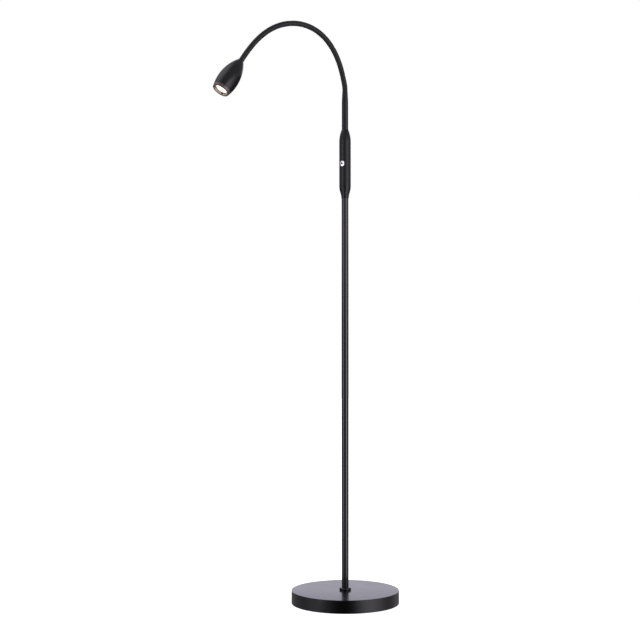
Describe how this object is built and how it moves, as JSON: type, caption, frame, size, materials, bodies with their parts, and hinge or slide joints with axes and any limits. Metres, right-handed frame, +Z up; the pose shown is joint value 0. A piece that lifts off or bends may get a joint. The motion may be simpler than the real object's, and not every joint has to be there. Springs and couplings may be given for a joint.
{
  "type": "gooseneck reading floor lamp",
  "caption": "Black floor reading lamp: round weighted base, slim pole, inline push-button dimmer housing, ribbed gooseneck and an egg-shaped LED head.",
  "frame": {"origin": "centre of the base's underside, on the floor", "axes": "+Z up along the pole; the neck curls over towards -X; the cord inlet is on the +X side; the push button looks between -X and -Y"},
  "size_m": [0.4791, 0.25, 1.3368],
  "materials": {
    "base_paint": "satin black powder coat",
    "pole_paint": "satin black powder coat",
    "housing_paint": "satin black lacquer",
    "neck_paint": "black lacquered wound steel",
    "head_paint": "satin black lacquer",
    "zinc_steel": "zinc plated",
    "turned_brass": "turned",
    "cast_weight": "rough cast",
    "pad_rubber": "matt foam rubber",
    "black_plastic": "fine moulded",
    "white_plastic": "moulded",
    "lead_sheath": "smooth PVC sheath",
    "button_chrome": "polished",
    "green_board": "solder mask",
    "board_parts": "moulded",
    "sink_aluminium": "as machined",
    "led_phosphor": "cast silicone",
    "lens_lit": "clear moulded, lit from behind"
  },
  "bodies": {
    "stand": {"base_pad": "pad_rubber", "base_plate": "zinc_steel", "base_screws": "zinc_steel", "base_weight": "cast_weight", "base_cover": "base_paint", "cord_gland": "black_plastic", "gland_nut": "black_plastic", "terminal_block": "white_plastic", "base_nipple": "zinc_steel", "base_washer": "zinc_steel", "pole_collar": "base_paint", "pole_tube": "pole_paint", "pole_inserts": "turned_brass", "pole_lead": "lead_sheath", "housing_nipple": "zinc_steel", "thread_nuts": "zinc_steel", "housing_cap": "housing_paint", "housing_body": "housing_paint", "dimmer_board": "green_board", "board_parts": "board_parts", "switch_body": "black_plastic", "button_guide": "black_plastic", "neck_ferrule": "housing_paint", "ferrule_lead": "lead_sheath"},
    "button": {"button_cap": "button_chrome", "switch_plunger": "white_plastic"},
    "neck_01": {"neck_link_01": "neck_paint", "neck_lead_01": "lead_sheath"},
    "neck_02": {"neck_link_02": "neck_paint", "neck_lead_02": "lead_sheath"},
    "neck_03": {"neck_link_03": "neck_paint", "neck_lead_03": "lead_sheath"},
    "neck_04": {"neck_link_04": "neck_paint", "neck_lead_04": "lead_sheath"},
    "neck_05": {"neck_link_05": "neck_paint", "neck_lead_05": "lead_sheath"},
    "neck_06": {"neck_link_06": "neck_paint", "neck_lead_06": "lead_sheath"},
    "neck_07": {"neck_link_07": "neck_paint", "neck_lead_07": "lead_sheath"},
    "neck_08": {"neck_link_08": "neck_paint", "neck_lead_08": "lead_sheath"},
    "neck_09": {"neck_link_09": "neck_paint", "neck_lead_09": "lead_sheath"},
    "neck_10": {"neck_link_10": "neck_paint", "neck_lead_10": "lead_sheath"},
    "neck_11": {"neck_link_11": "neck_paint", "neck_lead_11": "lead_sheath"},
    "head": {"neck_link_12": "neck_paint", "head_lead": "lead_sheath", "head_shell": "head_paint", "head_nut": "zinc_steel", "front_ring": "head_paint", "heat_sink": "sink_aluminium", "led_board": "sink_aluminium", "led_chip": "led_phosphor", "led_screws": "zinc_steel", "lens_holder": "white_plastic", "lens": "lens_lit"}
  },
  "joints": [
    {"name": "button_press", "type": "slide", "parent": "stand", "child": "button", "axis": [0.8988, 0.4384, 0], "range_m": [0, 0.0015], "stiffness_N_per_m": 1500, "springref_m": -0.0015},
    {"name": "neck_lean", "type": "hinge", "parent": "stand", "child": "neck_01", "pos_m": [0, 0, 1.19], "axis": [1, 0, 0], "range_deg": [-19, 19]},
    {"name": "neck_curl", "type": "hinge", "parent": "neck_01", "child": "neck_02", "pos_m": [-0.00611, 0, 1.22294], "axis": [0, -1, 0], "range_deg": [-9, 3]},
    {"name": "neck_curl_02", "type": "hinge", "parent": "neck_02", "child": "neck_03", "pos_m": [-0.01729, 0, 1.25452], "axis": [0, -1, 0], "range_deg": [-11.05, 3.72]},
    {"name": "neck_curl_03", "type": "hinge", "parent": "neck_03", "child": "neck_04", "pos_m": [-0.03429, 0, 1.28338], "axis": [0, -1, 0], "range_deg": [-14.05, 4.72]},
    {"name": "neck_curl_04", "type": "hinge", "parent": "neck_04", "child": "neck_05", "pos_m": [-0.05777, 0, 1.30728], "axis": [0, -1, 0], "range_deg": [-16.55, 5.55]},
    {"name": "neck_curl_05", "type": "hinge", "parent": "neck_05", "child": "neck_06", "pos_m": [-0.08707, 0, 1.32352], "axis": [0, -1, 0], "range_deg": [-16.55, 5.55]},
    {"name": "neck_curl_06", "type": "hinge", "parent": "neck_06", "child": "neck_07", "pos_m": [-0.11978, 0, 1.33077], "axis": [0, -1, 0], "range_deg": [-15.05, 5.05]},
    {"name": "neck_curl_07", "type": "hinge", "parent": "neck_07", "child": "neck_08", "pos_m": [-0.15324, 0, 1.32931], "axis": [0, -1, 0], "range_deg": [-13.05, 4.38]},
    {"name": "neck_curl_08", "type": "hinge", "parent": "neck_08", "child": "neck_09", "pos_m": [-0.18553, 0, 1.32035], "axis": [0, -1, 0], "range_deg": [-12.55, 4.22]},
    {"name": "neck_curl_09", "type": "hinge", "parent": "neck_09", "child": "neck_10", "pos_m": [-0.2151, 0, 1.30463], "axis": [0, -1, 0], "range_deg": [-11.05, 3.72]},
    {"name": "head_tilt", "type": "hinge", "parent": "neck_10", "child": "neck_11", "pos_m": [-0.24114, 0, 1.28354], "axis": [0, -1, 0], "range_deg": [-20, 13]},
    {"name": "head_lean", "type": "hinge", "parent": "neck_11", "child": "head", "pos_m": [-0.26377, 0, 1.25885], "axis": [-0.7373, 0, 0.6756], "range_deg": [-19, 19]}
  ],
  "couplings": [
    {"joint": "neck_curl_02", "follows": "neck_curl", "ratio": 1.2222},
    {"joint": "neck_curl_03", "follows": "neck_curl", "ratio": 1.5556},
    {"joint": "neck_curl_04", "follows": "neck_curl", "ratio": 1.8333},
    {"joint": "neck_curl_05", "follows": "neck_curl", "ratio": 1.8333},
    {"joint": "neck_curl_06", "follows": "neck_curl", "ratio": 1.6667},
    {"joint": "neck_curl_07", "follows": "neck_curl", "ratio": 1.4444},
    {"joint": "neck_curl_08", "follows": "neck_curl", "ratio": 1.3889},
    {"joint": "neck_curl_09", "follows": "neck_curl", "ratio": 1.2222},
    {"joint": "head_lean", "follows": "neck_lean", "ratio": 1}
  ]
}
